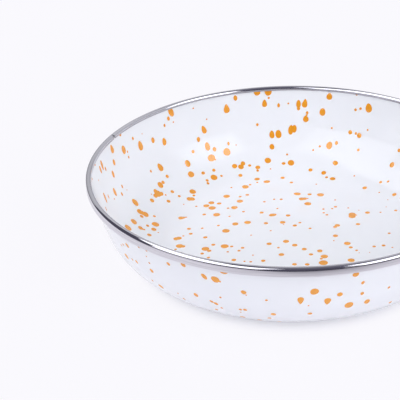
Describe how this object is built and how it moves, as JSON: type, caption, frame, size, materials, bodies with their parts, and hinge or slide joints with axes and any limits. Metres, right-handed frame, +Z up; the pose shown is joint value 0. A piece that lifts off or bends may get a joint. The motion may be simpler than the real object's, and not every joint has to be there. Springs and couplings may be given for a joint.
{
  "type": "salad bowl",
  "caption": "Shallow round salad bowl of white enamelled steel, spattered with orange enamel drops inside and out, with a stainless strip clinched round its rim.",
  "frame": {"origin": "centre of the flat foot, on the surface that the bowl stands on", "axes": "+Z up along the bowl's axis, out of its mouth; +Y away from the picture's camera, +X to its right"},
  "size_m": [0.25, 0.25, 0.057],
  "materials": {
    "pressed_steel": "bare pressed sheet, hidden under the coats and the strip",
    "white_enamel": "glossy white vitreous enamel, slightly wavy, with fused orange drops",
    "orange_enamel": "glossy orange enamel drops fused into the white coat",
    "stainless_rim": "polished over the fold, finely brushed along the skirt"
  },
  "bodies": {
    "root": {"steel_shell": "pressed_steel", "enamel_inside": "white_enamel", "enamel_outside": "white_enamel", "rim_band": "stainless_rim"}
  },
  "joints": []
}
